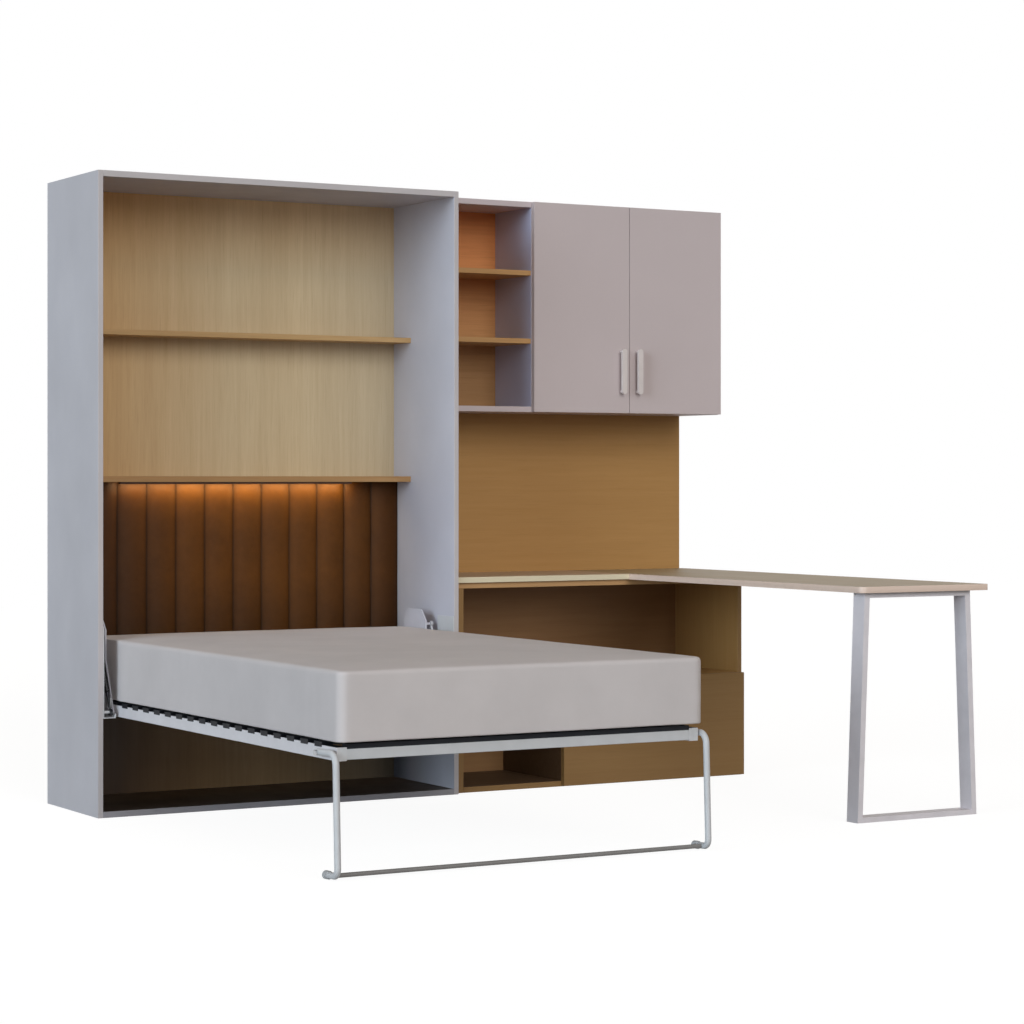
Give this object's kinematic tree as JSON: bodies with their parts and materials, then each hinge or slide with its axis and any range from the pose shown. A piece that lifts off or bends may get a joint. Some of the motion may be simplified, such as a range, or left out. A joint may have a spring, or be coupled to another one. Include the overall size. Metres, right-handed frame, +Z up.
{
  "type": "wall bed with wall unit and desk",
  "caption": "Wall bed that tilts up into an open cabinet, beside a wall unit with a two-door cupboard, open niches, a drawer and an L-shaped desk on a loop leg",
  "frame": {"origin": "middle of the footprint, on the floor", "axes": "+X right along the wall as seen from the room, +Y towards the wall, +Z up"},
  "size_m": [2.564, 2.1014, 2.1],
  "materials": {
    "carcass_lilac": "matt laminate",
    "carcass_rose": "matt laminate",
    "door_lacquer": "matt lacquer",
    "handle_lacquer": "satin",
    "oak": "satin",
    "tan_board": "matt",
    "pale_oak": "satin",
    "desk_steel": "satin",
    "white_steel": "satin",
    "grey_steel": "satin",
    "zinc": "satin",
    "cap_rubber": "matt",
    "white_plastic": "matt",
    "black_plastic": "matt",
    "black_paint": "gloss",
    "strut_chrome": "polished",
    "brown_leather": "satin",
    "mattress_fabric": "woven",
    "led_diffuser": "matt"
  },
  "bodies": {
    "cabinet": {"bed_cabinet_left_side": "carcass_lilac", "bed_cabinet_right_side": "carcass_lilac", "bed_cabinet_top": "carcass_lilac", "bed_cabinet_bottom": "carcass_lilac", "bed_cabinet_back": "oak", "bed_shelf_upper": "oak", "bed_shelf_lower": "oak", "led_strip": "led_diffuser", "headboard": "brown_leather", "pivot_brackets": "white_steel", "upper_left_side": "carcass_rose", "upper_divider": "carcass_rose", "upper_right_side": "carcass_rose", "upper_top": "carcass_rose", "upper_bottom": "carcass_rose", "upper_back": "oak", "niche_shelf_lower": "oak", "niche_shelf_upper": "oak", "hinge_plates": "zinc", "desk_back_panel": "tan_board", "lower_left_side": "tan_board", "lower_right_side": "tan_board", "lower_divider": "tan_board", "lower_top": "tan_board", "lower_middle_shelf": "tan_board", "lower_bottom": "tan_board", "lower_back": "tan_board", "drawer_rails_fixed": "zinc", "desk_top_wall": "pale_oak", "desk_top_leaf": "pale_oak", "desk_leg": "desk_steel"},
    "bed": {"bed_rail_left": "white_steel", "bed_rail_right": "white_steel", "bed_rail_foot": "white_steel", "bed_rail_head": "white_steel", "bed_centre_beam": "white_steel", "rail_end_plugs": "white_plastic", "bed_gusset_left": "white_steel", "bed_gusset_right": "white_steel", "slats": "oak", "slat_holders": "black_plastic", "leg_pivot_bolts": "zinc", "mattress": "mattress_fabric"},
    "support_leg": {"support_leg_left": "white_steel", "support_leg_right": "white_steel", "support_leg_crossbar": "grey_steel", "support_leg_caps": "cap_rubber"},
    "strut_rod_l": {"strut_rod_left": "strut_chrome"},
    "strut_cyl_l": {"strut_cylinder_left": "black_paint"},
    "strut_rod_r": {"strut_rod_right": "strut_chrome"},
    "strut_cyl_r": {"strut_cylinder_right": "black_paint"},
    "left_door": {"door_left": "door_lacquer", "handle_left": "handle_lacquer", "hinge_cups_left": "zinc"},
    "right_door": {"door_right": "door_lacquer", "handle_right": "handle_lacquer", "hinge_cups_right": "zinc"},
    "drawer": {"drawer_front": "tan_board", "drawer_box": "pale_oak", "drawer_rails_moving": "zinc"}
  },
  "joints": [
    {"name": "bed_tilt", "type": "hinge", "parent": "cabinet", "child": "bed", "pos_m": [-0.6155, 0.64671, 0.345], "axis": [-1, 0, 0], "range_deg": [0, 90]},
    {"name": "leg_fold", "type": "hinge", "parent": "bed", "child": "support_leg", "pos_m": [-0.6155, -0.92829, 0.345], "axis": [1, 0, 0], "range_deg": [0, 90]},
    {"name": "strut_swing_left", "type": "hinge", "parent": "cabinet", "child": "strut_rod_l", "pos_m": [-1.237, 0.59071, 0.342], "axis": [-1, 0, 0], "range_deg": [0, 80]},
    {"name": "strut_slide_left", "type": "slide", "parent": "strut_rod_l", "child": "strut_cyl_l", "axis": [0, 0.4207, 0.9072], "range_m": [0, 0.033]},
    {"name": "strut_swing_right", "type": "hinge", "parent": "cabinet", "child": "strut_rod_r", "pos_m": [0.006, 0.59071, 0.342], "axis": [-1, 0, 0], "range_deg": [0, 80]},
    {"name": "strut_slide_right", "type": "slide", "parent": "strut_rod_r", "child": "strut_cyl_r", "axis": [0, 0.4207, 0.9072], "range_m": [0, 0.033]},
    {"name": "left_door_swing", "type": "hinge", "parent": "cabinet", "child": "left_door", "pos_m": [0.4525, 0.74671, 1.72], "axis": [0, 0, -1], "range_deg": [0, 100]},
    {"name": "right_door_swing", "type": "hinge", "parent": "cabinet", "child": "right_door", "pos_m": [1.267, 0.74671, 1.72], "axis": [0, 0, 1], "range_deg": [0, 100]},
    {"name": "drawer_slide", "type": "slide", "parent": "cabinet", "child": "drawer", "axis": [0, -1, 0], "range_m": [0, 0.35]}
  ],
  "couplings": [
    {"joint": "strut_swing_left", "follows": "bed_tilt", "ratio": 0.84068},
    {"joint": "strut_slide_left", "follows": "bed_tilt", "m_per_rad": 0.02088},
    {"joint": "strut_swing_right", "follows": "bed_tilt", "ratio": 0.84068},
    {"joint": "strut_slide_right", "follows": "bed_tilt", "m_per_rad": 0.02088}
  ]
}
